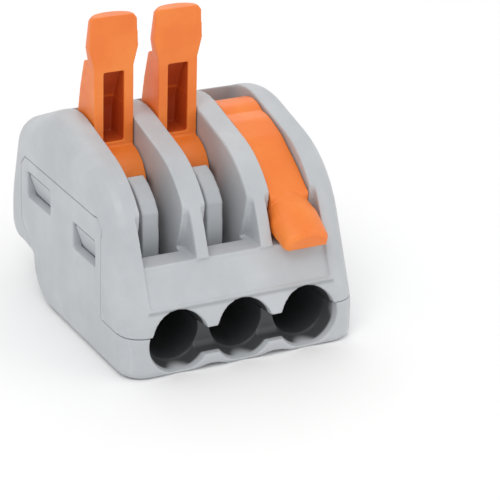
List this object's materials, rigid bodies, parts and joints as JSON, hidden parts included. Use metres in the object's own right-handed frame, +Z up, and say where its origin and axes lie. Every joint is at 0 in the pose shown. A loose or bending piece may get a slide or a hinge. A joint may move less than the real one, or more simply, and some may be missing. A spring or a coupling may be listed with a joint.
{
  "type": "lever wire connector",
  "caption": "Grey moulded wire connector with orange hinged levers, spring cage clamps and a common current bar.",
  "frame": {"origin": "centre of the underside, on the surface that the connector stands on", "axes": "+Z up towards the levers, -Y is the front with the wire entries, +X runs along the row of poles"},
  "size_m": [0.0176, 0.0206, 0.0217],
  "materials": {
    "housing_plastic": "satin moulded polyamide",
    "lever_plastic": "satin moulded polyamide",
    "tinned_copper": "tin-plated copper",
    "spring_steel": "bright stainless spring strip"
  },
  "bodies": {
    "body": {"housing": "housing_plastic", "base": "housing_plastic", "busbar": "tinned_copper", "spring_leg_1": "spring_steel", "spring_leg_2": "spring_steel", "spring_leg_3": "spring_steel"},
    "lever_1": {"lever_1": "lever_plastic"},
    "lever_2": {"lever_2": "lever_plastic"},
    "lever_3": {"lever_3": "lever_plastic"},
    "cage_1": {"spring_cage_1": "spring_steel"},
    "cage_2": {"spring_cage_2": "spring_steel"},
    "cage_3": {"spring_cage_3": "spring_steel"}
  },
  "joints": [
    {"name": "lever_1_hinge", "type": "hinge", "parent": "body", "child": "lever_1", "pos_m": [-0.0048, 0.0005, 0.0109], "axis": [-1, 0, 0], "range_deg": [-110, 0]},
    {"name": "lever_2_hinge", "type": "hinge", "parent": "body", "child": "lever_2", "pos_m": [0, 0.0005, 0.0109], "axis": [-1, 0, 0], "range_deg": [-110, 0]},
    {"name": "lever_3_hinge", "type": "hinge", "parent": "body", "child": "lever_3", "pos_m": [0.0048, 0.0005, 0.0109], "axis": [-1, 0, 0], "range_deg": [0, 110]},
    {"name": "cage_1_bend", "type": "hinge", "parent": "body", "child": "cage_1", "pos_m": [-0.0048, 0.00655, 0.00575], "axis": [1, 0, 0], "range_deg": [-18, 0]},
    {"name": "cage_2_bend", "type": "hinge", "parent": "body", "child": "cage_2", "pos_m": [0, 0.00655, 0.00575], "axis": [1, 0, 0], "range_deg": [-18, 0]},
    {"name": "cage_3_bend", "type": "hinge", "parent": "body", "child": "cage_3", "pos_m": [0.0048, 0.00655, 0.00575], "axis": [1, 0, 0], "range_deg": [0, 18]}
  ],
  "couplings": [
    {"joint": "cage_1_bend", "follows": "lever_1_hinge", "ratio": 0.16364},
    {"joint": "cage_2_bend", "follows": "lever_2_hinge", "ratio": 0.16364},
    {"joint": "cage_3_bend", "follows": "lever_3_hinge", "ratio": 0.16364}
  ]
}
